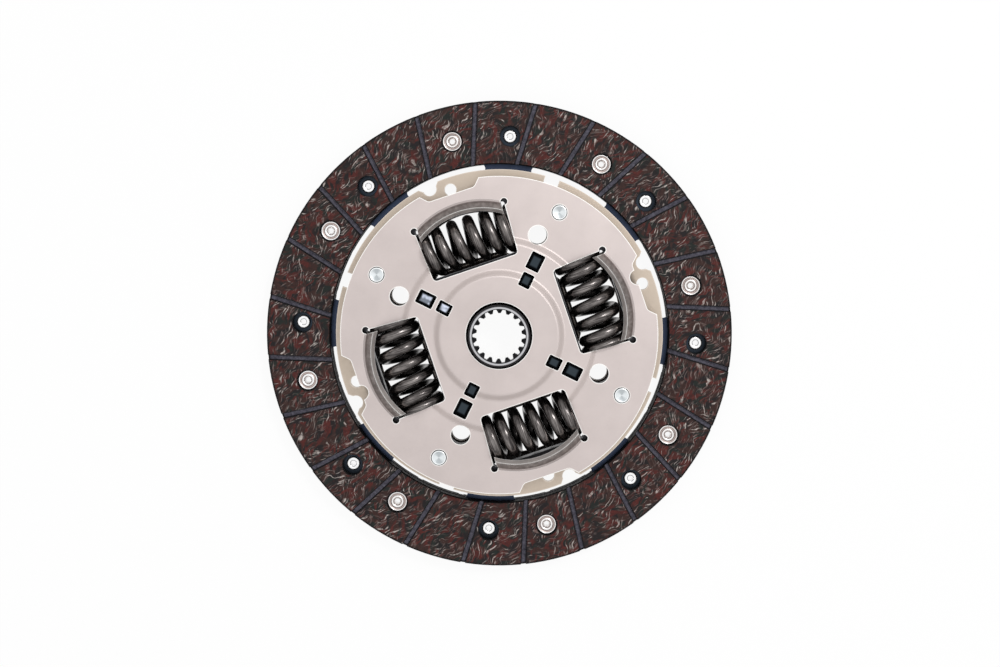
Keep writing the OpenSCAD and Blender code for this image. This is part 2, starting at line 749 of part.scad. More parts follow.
// The concave fillet where an arm's side meets its paddle.
module arm_corner(s) {
    x = sqrt(pow(paddle_in_r - arm_fillet, 2) - pow(arm_w / 2 + arm_fillet, 2));
    y = arm_w / 2 + arm_fillet;
    touch = atan2(y, x);
    difference() {
        polygon([
            [x, s * (arm_w / 2 - 0.5)], [paddle_in_r, s * (arm_w / 2 - 0.5)],
            (paddle_in_r + 0.5) * [cos(touch), s * sin(touch)], [x, s * y]
        ]);
        translate([x, s * y]) circle(r = arm_fillet, $fn = 48);
    }
}

// The waved sheet seen from its edge: low at one rivet, up at the other, low again at the tip.
module wave_section() {
    up = cushion_gap - cushion_t;
    crest = rivet_pcd / 2 * sin(rivet_pair_turn);
    pad = 4.4;
    far = paddle_out_r;
    rise = [
        [-far, 0], [crest - pad - wave_ramp, 0], [crest - pad, up],
        [crest + pad, up], [crest + pad + wave_ramp, 0], [far, 0]
    ];
    polygon(concat(rise, [for (i = [len(rise) - 1:-1:0]) rise[i] + [0, cushion_t]]));
}

module cushion_disc() {
    color(blued_steel) difference() {
        union() {
            translate([0, 0, cushion_z]) rotate([0, 0, 22]) cylinder(d = cushion_ring_d, h = cushion_t);
            round_hub(rivet_count, rear_rivet_turn) intersection() {
                linear_extrude(cut) paddle_outline();
                translate([30, 0, cushion_z])
                    rotate([90, 0, 90]) linear_extrude(70) wave_section();
            }
        }
        cylinder(d = cushion_ring_id, h = cut);
        translate([0, 0, cushion_z]) windows(0.9);
        round_hub(spring_count, pin_turn)
            translate([pin_r, 0, 0]) cylinder(d = pin_end_d + 2 * fit_gap, h = cut);
        for (turn = [rivet_turn, rear_rivet_turn])
            round_hub(rivet_count, turn)
                translate([rivet_pcd / 2, 0, 0]) cylinder(d = rivet_shank_d + 2 * fit_gap, h = cut);
    }
}

// Friction facings. Both are one part, turned over.

module facing() {
    inner = facing_id / 2;
    outer = facing_od / 2;
    c = facing_chamfer;
    color(lining_colour) difference() {
        rotate_extrude() polygon([
            [inner, 0], [outer, 0], [outer, facing_t - c], [outer - c, facing_t],
            [inner + c, facing_t], [inner, facing_t - c]
        ]);
        round_hub(groove_count, groove_turn)
            translate([0, groove_miss - groove_w / 2, facing_t - groove_depth])
                cube([outer + 2, groove_w, groove_depth + 1]);
        round_hub(rivet_count, rivet_turn) translate([rivet_pcd / 2, 0, 0]) {
            translate([0, 0, -1]) cylinder(d = rivet_shank_d + 2 * fit_gap, h = cut);
            translate([0, 0, lining_web]) cylinder(d = rivet_head_d + 2 * head_gap, h = cut);
        }
        round_hub(rivet_count, rear_rivet_turn)
            translate([rivet_pcd / 2, 0, -1]) cylinder(d = clear_hole_d, h = cut);
    }
}

module facing_front() translate([0, 0, front_facing_z]) facing();

module facing_rear() turned_over() facing();

// Turns a piece of the gearbox side over to the flywheel side, rivet holes in line.
module turned_over() {
    rotate([0, 0, rivet_turn + rear_rivet_turn])
        translate([0, 0, facing_t]) rotate([180, 0, 0]) children();
}

// A tubular rivet: stepped head, bore right through, end rolled over the cushion.
// Z = 0 is the facing's clamped face, the head is above it and the rolled end below.
module facing_rivet(sheet_under) {
    head = rivet_head_d / 2;
    shank = rivet_shank_d / 2;
    bore = rivet_bore_d / 2;
    roll = rolled_end_d / 2;
    top = lining_web + rivet_head_t;
    sink = 0.3;
    low = -sheet_under;
    color(rivet_colour) rotate_extrude() polygon([
        [bore, low - rolled_end_h + 0.35], [bore + 0.35, low - rolled_end_h], [roll - 0.45, low - rolled_end_h],
        [roll, low - rolled_end_h + 0.4], [roll, low - 0.2], [roll - 0.2, low],
        [shank, low], [shank, lining_web], [head - 0.1, lining_web], [head, lining_web + 0.15],
        [head, top - 0.2], [head - 0.25, top], [head * 0.78, top], [head * 0.72, top - sink],
        [head * 0.56, top - sink], [head * 0.5, top], [bore + 0.3, top], [bore, top - 0.3]
    ]);
}

module facing_rivet_front(i) {
    rotate([0, 0, rivet_turn + (i - 1) * facing_pitch])
        translate([rivet_pcd / 2, 0, front_facing_z]) facing_rivet(cushion_t);
}

module facing_rivet_rear(i) {
    turned_over()
        rotate([0, 0, rivet_turn + (i - 1) * facing_pitch])
            translate([rivet_pcd / 2, 0, 0]) facing_rivet(cushion_t);
}

hub();
front_plate();
rear_plate();
cushion_disc();
facing_front();
facing_rear();
friction_ring_front();
pressure_washer();
spring_washer();
support_washer();
friction_ring_rear();
centring_bush();
for (i = [1:spring_count]) {
    damper_spring(i);
    stop_pin(i);
}
for (i = [1:rivet_count]) {
    facing_rivet_front(i);
    facing_rivet_rear(i);
}
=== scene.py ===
import bpy
import bmesh
import math
from mathutils import Matrix, Vector


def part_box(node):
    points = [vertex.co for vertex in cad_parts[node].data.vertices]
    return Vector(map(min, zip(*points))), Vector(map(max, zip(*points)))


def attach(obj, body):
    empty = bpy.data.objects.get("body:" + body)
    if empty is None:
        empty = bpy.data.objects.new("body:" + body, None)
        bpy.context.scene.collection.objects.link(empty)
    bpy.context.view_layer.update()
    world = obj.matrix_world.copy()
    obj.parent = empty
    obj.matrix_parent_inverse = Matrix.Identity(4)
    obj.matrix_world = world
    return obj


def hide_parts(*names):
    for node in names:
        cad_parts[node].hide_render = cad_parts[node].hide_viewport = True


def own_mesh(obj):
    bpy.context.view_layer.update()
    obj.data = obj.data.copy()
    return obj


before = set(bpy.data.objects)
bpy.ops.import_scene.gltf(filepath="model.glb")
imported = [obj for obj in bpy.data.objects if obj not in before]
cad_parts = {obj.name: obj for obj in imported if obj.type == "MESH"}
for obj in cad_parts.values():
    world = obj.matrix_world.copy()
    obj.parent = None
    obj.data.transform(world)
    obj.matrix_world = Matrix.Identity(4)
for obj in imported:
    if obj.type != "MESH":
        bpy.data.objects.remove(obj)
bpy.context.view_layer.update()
mm = 0.001
print("frame loaded:", len(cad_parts), "nodes")


# small helpers for materials

def inMm(*values):
    return tuple(value * mm for value in values)


def paint(red, green, blue):
    # 0 to 255, as a paint chip reads on screen
    def toLinear(value):
        value = value / 255
        return value / 12.92 if value <= 0.04045 else ((value + 0.055) / 1.055) ** 2.4
    return (toLinear(red), toLinear(green), toLinear(blue), 1)


def grey(value):
    return (value, value, value, 1)


def addNode(mat, kind, values=None, **settings):
    # a value is another node's output, or a constant for the node's own socket
    made = mat.node_tree.nodes.new("ShaderNode" + kind)
    for key, value in settings.items():
        setattr(made, key, value)
    for key, value in (values or {}).items():
        if isinstance(value, bpy.types.NodeSocket):
            mat.node_tree.links.new(value, made.inputs[key])
        else:
            made.inputs[key].default_value = value
    return made


def newSurface(name, **values):
    mat = bpy.data.materials.new(name)
    mat.use_nodes = True
    shader = mat.node_tree.nodes["Principled BSDF"]
    for key, value in values.items():
        shader.inputs[key.replace("_", " ")].default_value = value
    return mat, shader


def plug(mat, shader, **sockets):
    for key, value in sockets.items():
        mat.node_tree.links.new(value, shader.inputs[key.replace("_", " ")])


def objectPlace(mat):
    return addNode(mat, "TexCoord").outputs["Object"]


def splitPlace(mat, vector):
    return addNode(mat, "SeparateXYZ", {"Vector": vector}).outputs


def normalOn(mat):
    return addNode(mat, "NewGeometry").outputs["Normal"]


def noiseOn(mat, place, scale, detail=3.0, roughness=0.5, stretch=(1, 1, 1), shift=(0, 0, 0)):
    moved = addNode(mat, "Mapping", {"Vector": place, "Scale": stretch, "Location": shift})
    return addNode(mat, "TexNoise", {
        "Vector": moved.outputs[0], "Scale": scale, "Detail": detail, "Roughness": roughness,
    }).outputs["Fac"]


def rampOn(mat, value, stops):
    ramp = addNode(mat, "ValToRGB", {"Fac": value})
    bar = ramp.color_ramp.elements
    while len(bar) > 1:
        bar.remove(bar[-1])
    bar[0].position, bar[0].color = stops[0]
    for position, colour in stops[1:]:
        bar.new(position).color = colour
    return ramp.outputs["Color"]


def mixOn(mat, factor, first, second):
    # sockets 0, 6 and 7 are the factor and the two colours
    return addNode(mat, "Mix", {0: factor, 6: first, 7: second}, data_type="RGBA").outputs[2]


def mathOn(mat, operation, first, second=0.0):
    return addNode(mat, "Math", {0: first, 1: second}, operation=operation).outputs[0]


def timesOn(mat, first, second):
    return mathOn(mat, "MULTIPLY", first, second)


def minusOn(mat, first, second):
    return mathOn(mat, "SUBTRACT", first, second)


def vectorOn(mat, operation, first, second=(0, 0, 0), out="Vector"):
    return addNode(mat, "VectorMath", {0: first, 1: second}, operation=operation).outputs[out]


def rangeOn(mat, value, low, high, toLow=0.0, toHigh=1.0):
    return addNode(mat, "MapRange", {
        "Value": value, "From Min": low, "From Max": high, "To Min": toLow, "To Max": toHigh,
    }).outputs[0]


def fallOn(mat, value, low, high):
    return rangeOn(mat, value, low, high, 1.0, 0.0)


def bumpOn(mat, height, distance, strength, under=None):
    values = {"Height": height, "Distance": distance, "Strength": strength}
    if under is not None:
        values["Normal"] = under
    return addNode(mat, "Bump", values).outputs["Normal"]


def edgeShare(mat, reach, soft, hard):
    # 1 on the rim of a cut edge, 0 on the open sheet
    rounded = addNode(mat, "Bevel", {"Radius": reach}, samples=8).outputs[0]
    alike = vectorOn(mat, "DOT_PRODUCT", rounded, normalOn(mat), "Value")
    return fallOn(mat, alike, soft, hard)


def axisReach(mat, place):
    flat = vectorOn(mat, "MULTIPLY", place, (1, 1, 0))
    return vectorOn(mat, "LENGTH", flat, out="Value")


def facesUp(mat):
    return mathOn(mat, "ABSOLUTE", splitPlace(mat, normalOn(mat))["Z"])


def dress(mat, *prefixes):
    count = 0
    for name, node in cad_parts.items():
        if name.startswith(prefixes):
            for slot in node.material_slots:
                slot.material = mat
            count += 1
    print("dressed", count, "nodes in", mat.name)


# friction lining: moulded resin with chopped yarn

lining = {
    "dark": paint(35, 31, 32),
    "green": paint(34, 40, 37),
    "brown": paint(60, 40, 36),
    "red": paint(84, 38, 34),
    "yarn": paint(188, 178, 172),
    "dullYarn": paint(118, 102, 98),
    "groove": paint(98, 96, 108),
    "grooveDirt": paint(54, 52, 62),
    # painted shade: black for the groove walls, the cut edges and the outer rim
    "edge": paint(14, 12, 13),
    # patches where a colour comes up: scale, where it starts and is full, shift
    "patches": {
        "green": (240, 0.5, 0.56, 5.1),
        "red": (150, 0.42, 0.52, 3.3),
        "bold": (170, 0.42, 0.52, 0.4),
        "slim": (190, 0.4, 0.52, 7.9),
    },
    # strands: bundles to the metre, length, width, where they start and are full, shift
    "strands": {
        "brown": (80, 6.5 * mm, 2.2 * mm, 0.46, 0.54, 1.7),
        "red": (76, 5.5 * mm, 1.7 * mm, 0.5, 0.58, 3.3),
        "bold": (84, 4.6 * mm, 0.64 * mm, 0.62, 0.76, 0.4),
        "slim": (100, 3.6 * mm, 0.5 * mm, 0.57, 0.72, 7.9),
    },
    "lean": (5, 95),  # degrees, so most bundles lean to the right
    "curl": 7.0 * mm, "curlScale": 120.0,
    "mottle": {"scale": 1050, "roughness": 0.6, "stretch": (1, 1, 0.2)},
    "speck": {"scale": 900, "roughness": 0.7},
    "darkened": (0.38, 0.66, 0.0, 0.5), "broken": (0.38, 0.52, 0.25, 1.0),
    "boldShare": 0.9, "slimShare": 0.8,
    "middle": 4.15 * mm, "faceFrom": inMm(3.9, 4.05), "level": (0.75, 0.95),
    "dirt": (0.35, 0.7), "edgeReach": 0.9 * mm, "edgeSoft": (0.88, 0.96), "rimShadeFrom": inMm(89.1, 89.6),
    "speckBump": (0.03 * mm, 0.6), "yarnBump": (0.05 * mm, 0.5), "sheen": (0.3, 0.7, 0.5, 0.72),
}


def patchesOn(mat, place, kind):
    scale, low, high, shift = lining["patches"][kind]
    cloud = noiseOn(mat, place, scale, detail=1.5, shift=(shift, shift * 0.6, 0), stretch=(1, 1, 0.05))
    return rangeOn(mat, cloud, low, high)


def strandsOn(mat, place, kind):
    # each bundle of chopped yarn lies in its own direction
    bundles, length, width, low, high, shift = lining["strands"][kind]
    leanLow, leanHigh = (math.radians(angle) for angle in lining["lean"])
    moved = addNode(mat, "Mapping", {"Vector": place, "Location": (shift, shift * 0.7, 0)}).outputs[0]
    bundle = addNode(mat, "TexVoronoi", {"Vector": moved, "Scale": bundles}, voronoi_dimensions="2D").outputs
    chance = addNode(mat, "SeparateColor", {"Color": bundle["Color"]}).outputs
    lean = rangeOn(mat, chance["Red"], 0.0, 1.0, leanLow, leanHigh)
    turned = addNode(mat, "VectorRotate", {
        "Vector": moved, "Center": bundle["Position"], "Angle": timesOn(mat, lean, -1.0),
    }, rotation_type="Z_AXIS").outputs[0]
    apart = addNode(mat, "CombineXYZ", {"X": chance["Green"], "Y": chance["Blue"]}).outputs[0]
    turned = vectorOn(mat, "ADD", turned, apart)
    drawn = addNode(mat, "Mapping", {"Vector": turned, "Scale": (1 / length, 1 / width, 0)}).outputs[0]
    fibre = addNode(mat, "TexNoise", {"Vector": drawn, "Scale": 1.0, "Detail": 1.0, "Roughness": 0.4},
                    noise_dimensions="2D").outputs["Fac"]
    return rangeOn(mat, fibre, low, high)


def bentPlace(mat, place):
    # the yarn is wound, so the strands bend
    swirl = addNode(mat, "TexNoise", {"Vector": place, "Scale": lining["curlScale"], "Detail": 2.0})
    curl = vectorOn(mat, "SUBTRACT", swirl.outputs["Color"], (0.5, 0.5, 0.5))
    curl = addNode(mat, "VectorMath", {0: curl, "Scale": lining["curl"]}, operation="SCALE").outputs[0]
    return vectorOn(mat, "ADD", place, curl)


def mouldedResin(mat, place, bent, mottle):
    # long patches of brown and red in dark resin
    colour = mixOn(mat, patchesOn(mat, place, "green"), lining["dark"], lining["green"])
    colour = mixOn(mat, strandsOn(mat, bent, "brown"), colour, lining["brown"])
    red = timesOn(mat, strandsOn(mat, bent, "red"), patchesOn(mat, place, "red"))
    colour = mixOn(mat, red, colour, lining["red"])
    return mixOn(mat, rangeOn(mat, mottle, *lining["darkened"]), colour, lining["dark"])


def choppedYarn(mat, place, bent, mottle, kind):
    # tapered light strands in loose bundles
    shown = timesOn(mat, strandsOn(mat, bent, kind), patchesOn(mat, place, kind))
    return timesOn(mat, shown, rangeOn(mat, mottle, *lining["broken"]))


def groovesAndShade(mat, place, speck, colour):
    # grooves show bare grey resin; their walls, the cut edges and the outer rim are painted black as painted
    # shade
    fromMiddle = mathOn(mat, "ABSOLUTE", minusOn(mat, splitPlace(mat, place)["Z"], lining["middle"]))
    onFace = rangeOn(mat, fromMiddle, *lining["faceFrom"])
    level = rangeOn(mat, facesUp(mat), *lining["level"])
    groove = mixOn(mat, rangeOn(mat, speck, *lining["dirt"]), lining["groove"], lining["grooveDirt"])
    cut = mixOn(mat, level, lining["edge"], groove)
    colour = mixOn(mat, timesOn(mat, onFace, level), cut, colour)
    colour = mixOn(mat, edgeShare(mat, lining["edgeReach"], *lining["edgeSoft"]), colour, lining["edge"])
    rim = rangeOn(mat, axisReach(mat, place), *lining["rimShadeFrom"])
    return mixOn(mat, rim, colour, lining["edge"])


def makeLining():
    mat, shader = newSurface("frictionLining", Specular_IOR_Level=0.15)
    place = objectPlace(mat)
    bent = bentPlace(mat, place)
    mottle = noiseOn(mat, place, **lining["mottle"])
    speck = noiseOn(mat, place, **lining["speck"])
    bold = choppedYarn(mat, place, bent, mottle, "bold")
    slim = choppedYarn(mat, place, bent, mottle, "slim")
    colour = mouldedResin(mat, place, bent, mottle)
    colour = mixOn(mat, timesOn(mat, slim, lining["slimShare"]), colour, lining["dullYarn"])
    colour = mixOn(mat, timesOn(mat, bold, lining["boldShare"]), colour, lining["yarn"])
    normal = bumpOn(mat, speck, *lining["speckBump"])
    normal = bumpOn(mat, mathOn(mat, "ADD", bold, slim), *lining["yarnBump"], normal)
    plug(mat, shader, Base_Color=groovesAndShade(mat, place, speck, colour),
         Roughness=rangeOn(mat, mottle, *lining["sheen"]), Normal=normal)
    return mat


dress(makeLining(), "facing_front", "facing_rear")


# metals: a piece's own finish names what differs from the usual one

# the cut colour is painted shade on upright faces near the axis
usualFinish = {
    "marks": 0.0, "grain": 900, "mottle": 0.05, "bump": 0.004 * mm,
    "edgeShare": 0.0, "edgeReach": 0.85 * mm, "edgeSoft": (0.9, 0.985), "cut": paint(24, 22, 21),
}
wearAndShade = {
    "cloud": {"scale": 60, "detail": 4.0, "roughness": 0.6}, "clouded": (0.3, 0.7),
    "spots": {"scale": 420, "detail": 2.0, "roughness": 0.8, "shift": (0.3, 0.1, 0)}, "spotted": (0.68, 0.76),
    "stain": paint(96, 84, 76),
    # where the painted shade on upright faces lies: how upright, and how near the axis
    "shadedUpright": (0.3, 0.6), "cutShadeTo": inMm(58, 60),
    "grained": (0.25, 0.75), "smoother": 0.05, "rougher": 0.07,
}


def metalShade(mat, place, finish):
    # a cloudy sheen and a few brown marks
    colour = finish["colour"][:3]
    darker = tuple(value * (1 - finish["mottle"]) for value in colour) + (1,)
    lighter = tuple(min(1, value * (1 + finish["mottle"])) for value in colour) + (1,)
    cloud = noiseOn(mat, place, **wearAndShade["cloud"])
    shade = mixOn(mat, rangeOn(mat, cloud, *wearAndShade["clouded"]), darker, lighter)
    if finish["marks"]:
        spots = noiseOn(mat, place, **wearAndShade["spots"])
        shade = mixOn(mat, rangeOn(mat, spots, *wearAndShade["spotted"], 0.0, finish["marks"]), shade, wearAndShade["stain"])
    return shade


def edgeLightAndShadeOn(mat, place, finish, shade):
    # the rims of cuts get the piece's painted edge colour: a painted highlight on the plates, the hub and the
    # ground spring ends, and painted shade on the cushion disc and the lugs; upright faces near the axis are
    # painted dark, as painted shade in holes and windows
    share = timesOn(mat, edgeShare(mat, finish["edgeReach"], *finish["edgeSoft"]), finish["edgeShare"])
    shade = mixOn(mat, share, shade, finish["edge"])
    if finish["cut"] is not None:
        near = fallOn(mat, axisReach(mat, place), *wearAndShade["cutShadeTo"])
        shadedUpright = timesOn(mat, fallOn(mat, facesUp(mat), *wearAndShade["shadedUpright"]), near)
        shade = mixOn(mat, shadedUpright, shade, finish["cut"])
    return shade


def makeMetal(name, finish, tinted=None, elsewhere=None):
    finish = {**usualFinish, **finish}
    mat, shader = newSurface(name, Metallic=1.0)
    place = objectPlace(mat)
    shade = metalShade(mat, place, finish) if "colour" in finish else None
    if tinted is not None:
        shade = tinted(mat, place, shade)
    if finish["edgeShare"]:
        shade = edgeLightAndShadeOn(mat, place, finish, shade)
    grain = noiseOn(mat, place, finish["grain"], roughness=0.65)
    rough = finish["rough"]
    rough = rangeOn(mat, grain, *wearAndShade["grained"], rough - wearAndShade["smoother"], rough + wearAndShade["rougher"])
    if elsewhere is not None:
        rough = rangeOn(mat, elsewhere(mat, place), 0.0, 1.0, rough, finish["otherRough"])
    plug(mat, shader, Base_Color=shade, Roughness=rough, Normal=bumpOn(mat, grain, finish["bump"], 1.0))
    return mat


# gearbox side plate

frontPlate = {
    "finish": {
        "colour": paint(208, 197, 194), "rough": 0.44, "marks": 0.05,
        # painted highlight: the near white edge colour lies on the rims of the cuts
        "edge": paint(255, 253, 250), "edgeShare": 1.0, "otherRough": 0.8,
    },
    # painted shade on the window lips, with lighter marks, and painted light on the steps round the hub
    "lip": paint(138, 130, 127), "streak": paint(168, 160, 156), "lipRim": paint(214, 206, 202),
    "lipFrom": inMm(16.15, 16.9), "lipMarks": {"scale": 700, "detail": 2.0, "stretch": (1, 1, 0.1)},
    "streaked": (0.4, 0.7), "facingIn": (-0.3, 0.1),
    "stepLight": paint(253, 247, 244), "stepLightShare": 0.3,
    "sloping": (0.5, 0.6), "level": (0.93, 0.995), "stepsTo": inMm(45, 46),
}


def stepSlopes(mat, place):
    # the shallow steps round the hub
    slope = facesUp(mat)
    sloping = rangeOn(mat, slope, *frontPlate["sloping"])
    sloping = timesOn(mat, sloping, fallOn(mat, slope, *frontPlate["level"]))
    return timesOn(mat, sloping, fallOn(mat, axisReach(mat, place), *frontPlate["stepsTo"]))


def lipShadeAndStepLight(mat, place, shade):
    # the window lips are painted darker as painted shade, with lighter drawing marks across, and their
    # inward-facing rim keeps nearly the plate's own colour; the steps round the hub get painted light
    reach = axisReach(mat, place)
    raised = rangeOn(mat, splitPlace(mat, place)["Z"], *frontPlate["lipFrom"])
    away = rangeOn(mat, reach, *frontPlate["stepsTo"])
    marks = rangeOn(mat, noiseOn(mat, place, **frontPlate["lipMarks"]), *frontPlate["streaked"])
    drawn = mixOn(mat, marks, frontPlate["lip"], frontPlate["streak"])
    outwards = vectorOn(mat, "DOT_PRODUCT", place, normalOn(mat), "Value")
    inwards = fallOn(mat, mathOn(mat, "DIVIDE", outwards, reach), *frontPlate["facingIn"])
    drawn = mixOn(mat, inwards, drawn, frontPlate["lipRim"])
    stepLight = timesOn(mat, stepSlopes(mat, place), frontPlate["stepLightShare"])
    shade = mixOn(mat, stepLight, shade, frontPlate["stepLight"])
    return mixOn(mat, timesOn(mat, raised, away), shade, drawn)


dress(makeMetal("satinPlate", frontPlate["finish"], lipShadeAndStepLight, stepSlopes), "front_plate")


# flywheel side plate and cushion disc

rearPlate = {
    "finish": {
        "colour": paint(200, 186, 171), "rough": 0.42, "marks": 0.05,
        # painted highlight: the lighter edge colour lies on the rims of the cuts
        "edge": paint(232, 221, 210), "edgeShare": 0.7,
    },
    # painted shade between the plates, near the axis
    "innerShade": paint(26, 22, 22), "innerShadeTo": inMm(54, 57), "facingOut": (-0.15, 0.0),
}
cushion = {
    "finish": {
        "colour": paint(58, 67, 86), "rough": 0.36, "marks": 0.05, "mottle": 0.15,
        # painted shade: the dark edge colour lies round the rims of the cuts, and the cut colour on upright
        # faces near the axis
        "edge": paint(20, 24, 34), "edgeShare": 0.35, "cut": paint(24, 26, 32),
    },
    "paddle": paint(50, 57, 65), "paddlesFrom": inMm(71, 74),
}


def darkInside(mat, place, shade):
    # painted shade: between the plates, near the axis, faces that look up or sideways are painted dark
    near = fallOn(mat, axisReach(mat, place), *rearPlate["innerShadeTo"])
    facing = rangeOn(mat, splitPlace(mat, normalOn(mat))["Z"], *rearPlate["facingOut"])
    return mixOn(mat, timesOn(mat, facing, near), shade, rearPlate["innerShade"])


def greyPaddles(mat, place, shade):
    # the paddles between the facings are worn greyer than the open ring, on top of the painted shade between
    # the plates
    worn = rangeOn(mat, axisReach(mat, place), *cushion["paddlesFrom"])
    return mixOn(mat, worn, darkInside(mat, place, shade), cushion["paddle"])


dress(makeMetal("warmPlate", rearPlate["finish"], darkInside), "rear_plate")
dress(makeMetal("bluedSteel", cushion["finish"], greyPaddles), "cushion_disc")


# hub

hub = {
    "finish": {
        "colour": paint(62, 62, 65), "rough": 0.34, "marks": 0.1, "otherRough": 0.06,
        # painted highlight: the light edge colour lies on the rims
        "edge": paint(190, 190, 192), "edgeShare": 0.4, "edgeReach": 0.4 * mm, "cut": None,
    },
    # painted highlight: the light ring on the end face
    "ring": paint(196, 196, 199), "ringFrom": inMm(10.35, 10.45), "ringTo": inMm(11.05, 11.25),
    "leadIn": paint(60, 60, 63), "barrelFrom": inMm(11.9, 12.0),
    "broached": paint(255, 255, 255), "boreTo": inMm(18.0, 18.6),
}


def boreWalls(mat, place):
    # the bore below its lead-in
    within = fallOn(mat, axisReach(mat, place), *hub["ringFrom"])
    deep = fallOn(mat, splitPlace(mat, place)["Z"], *hub["boreTo"])
    return timesOn(mat, within, deep)


def hubRingHighlight(mat, place, shade):
    # a painted highlight ring round the end face, a dark lead-in, and the broached bore
    reach = axisReach(mat, place)
    ring = timesOn(mat, rangeOn(mat, reach, *hub["ringFrom"]), fallOn(mat, reach, *hub["ringTo"]))
    shade = mixOn(mat, rangeOn(mat, reach, *hub["barrelFrom"]), hub["leadIn"], shade)
    shade = mixOn(mat, ring, shade, hub["ring"])
    return mixOn(mat, boreWalls(mat, place), shade, hub["broached"])


dress(makeMetal("hubSteel", hub["finish"], hubRingHighlight, boreWalls), "hub")


# keyed washers: their lugs stand in the front plate's square holes

lugs = {
    "finish": {
        "colour": paint(56, 64, 70), "rough": 0.3, "marks": 0.05,
        # painted shade: the near black edge colour lies wide round the rims
        "edge": paint(9, 10, 12), "edgeShare": 1.0, "edgeReach": 1.7 * mm, "edgeSoft": (0.94, 0.995),
    },
    # a painted reflection on one pair of lugs, and painted shade round the ends of all
    "glint": paint(224, 232, 250), "glintTurn": 152, "glintFrom": inMm(17, 22),
    "patch": {"scale": 420, "detail": 1.0, "stretch": (1, 1, 0.1)}, "patched": (0.42, 0.58, 0.25, 1.0),
    # rows of lugs in mm: reach of the middle, size outwards, size across
    "turn": 63.7, "rows": [(31.1, 6.3, 4.8), (23.3, 4.9, 4)],
    "scale": paint(7, 8, 10), "shadeFrom": (0.5, 0.72), "farAway": 10.0,
}


def towardsSide(mat, distance, size):
    return mathOn(mat, "DIVIDE", mathOn(mat, "ABSOLUTE", distance), size / 2 * mm)


def lugEnds(mat, place):
    # 0 in the middle of a lug's end and 1 at its sides, with the four lugs of a row folded onto one
    spot = splitPlace(mat, place)
    quarter = math.pi / 2
    angle = minusOn(mat, mathOn(mat, "ARCTAN2", spot["Y"], spot["X"]), math.radians(lugs["turn"]))
    angle = mathOn(mat, "DIVIDE", angle, quarter)
    folded = timesOn(mat, minusOn(mat, angle, mathOn(mat, "ROUND", angle)), quarter)
    reach = axisReach(mat, place)
    outwards = timesOn(mat, reach, mathOn(mat, "COSINE", folded))
    across = timesOn(mat, reach, mathOn(mat, "SINE", folded))
    nearest = lugs["farAway"]
    for middle, long, wide in lugs["rows"]:
        along = towardsSide(mat, minusOn(mat, outwards, middle * mm), long)
        row = mathOn(mat, "MAXIMUM", along, towardsSide(mat, across, wide))
        nearest = mathOn(mat, "MINIMUM", row, nearest)
    return nearest


def lugGlintAndShade(mat, place, shade):
    # painted reflection: one pair of lugs is painted pale where their bends would reflect the lamp; painted
    # shade: all are painted black round their ends, for the gap round them in their holes
    turn = math.radians(lugs["glintTurn"])
    side = vectorOn(mat, "DOT_PRODUCT", place, (math.cos(turn), math.sin(turn), 0), "Value")
    patch = rangeOn(mat, noiseOn(mat, place, **lugs["patch"]), *lugs["patched"])
    glint = timesOn(mat, rangeOn(mat, side, *lugs["glintFrom"]), patch)
    shade = mixOn(mat, glint, shade, lugs["glint"])
    return mixOn(mat, rangeOn(mat, lugEnds(mat, place), *lugs["shadeFrom"]), shade, lugs["scale"])


bluedLugs = makeMetal("bluedLugs", lugs["finish"], lugGlintAndShade)
dress(bluedLugs, "pressure_washer", "support_washer", "spring_washer")


# friction rings and bush

resin = {
    "colours": [(0.35, paint(34, 31, 30)), (0.7, paint(58, 52, 49))], "rough": 0.55,
    "speckScale": 700, "bump": (0.01 * mm, 0.6),
}


def makeResin():
    mat, shader = newSurface("ringResin", Roughness=resin["rough"])
    speck = noiseOn(mat, objectPlace(mat), resin["speckScale"])
    plug(mat, shader, Base_Color=rampOn(mat, speck, resin["colours"]),
         Normal=bumpOn(mat, speck, *resin["bump"]))
    return mat


dress(makeResin(), "friction_ring", "centring_bush")


# turned and riveted pieces, spun from half profiles of radius and height in mm

spun = {"steps": 48, "weld": 0.0005, "crease": 38, "pole": 0.01, "mapReach": 5}


def addPiece(name, bm, mats, crease):
    mesh = bpy.data.meshes.new(name)
    bm.to_mesh(mesh)
    bm.free()
    mesh.shade_smooth()
    mesh.set_sharp_from_angle(angle=math.radians(crease))
    for mat in mats:
        mesh.materials.append(mat)
    piece = bpy.data.objects.new(name, mesh)
    bpy.context.scene.collection.objects.link(piece)
    return piece


def finishRings(bm, rings):
    for face in bm.faces:
        middle = face.calc_center_median()
        reach = math.hypot(middle.x, middle.y)
        for low, high, finish in rings:
            if low < reach < high:
                face.material_index = finish


def mapTurns(bm):
    # u runs round the piece and v outwards, so that a turned face can shine across its tool marks,
    # and a point on the axis takes the direction of its face
    turns = bm.loops.layers.uv.new("turns")
    for face in bm.faces:
        middle = face.calc_center_median()
        towards = math.atan2(middle.y, middle.x)
        for loop in face.loops:
            spot = loop.vert.co
            reach = math.hypot(spot.x, spot.y)
            angle = math.atan2(spot.y, spot.x) if reach > spun["pole"] else towards
            angle = towards + math.remainder(angle - towards, 2 * math.pi)
            loop[turns].uv = (angle / (2 * math.pi), reach / spun["mapReach"])


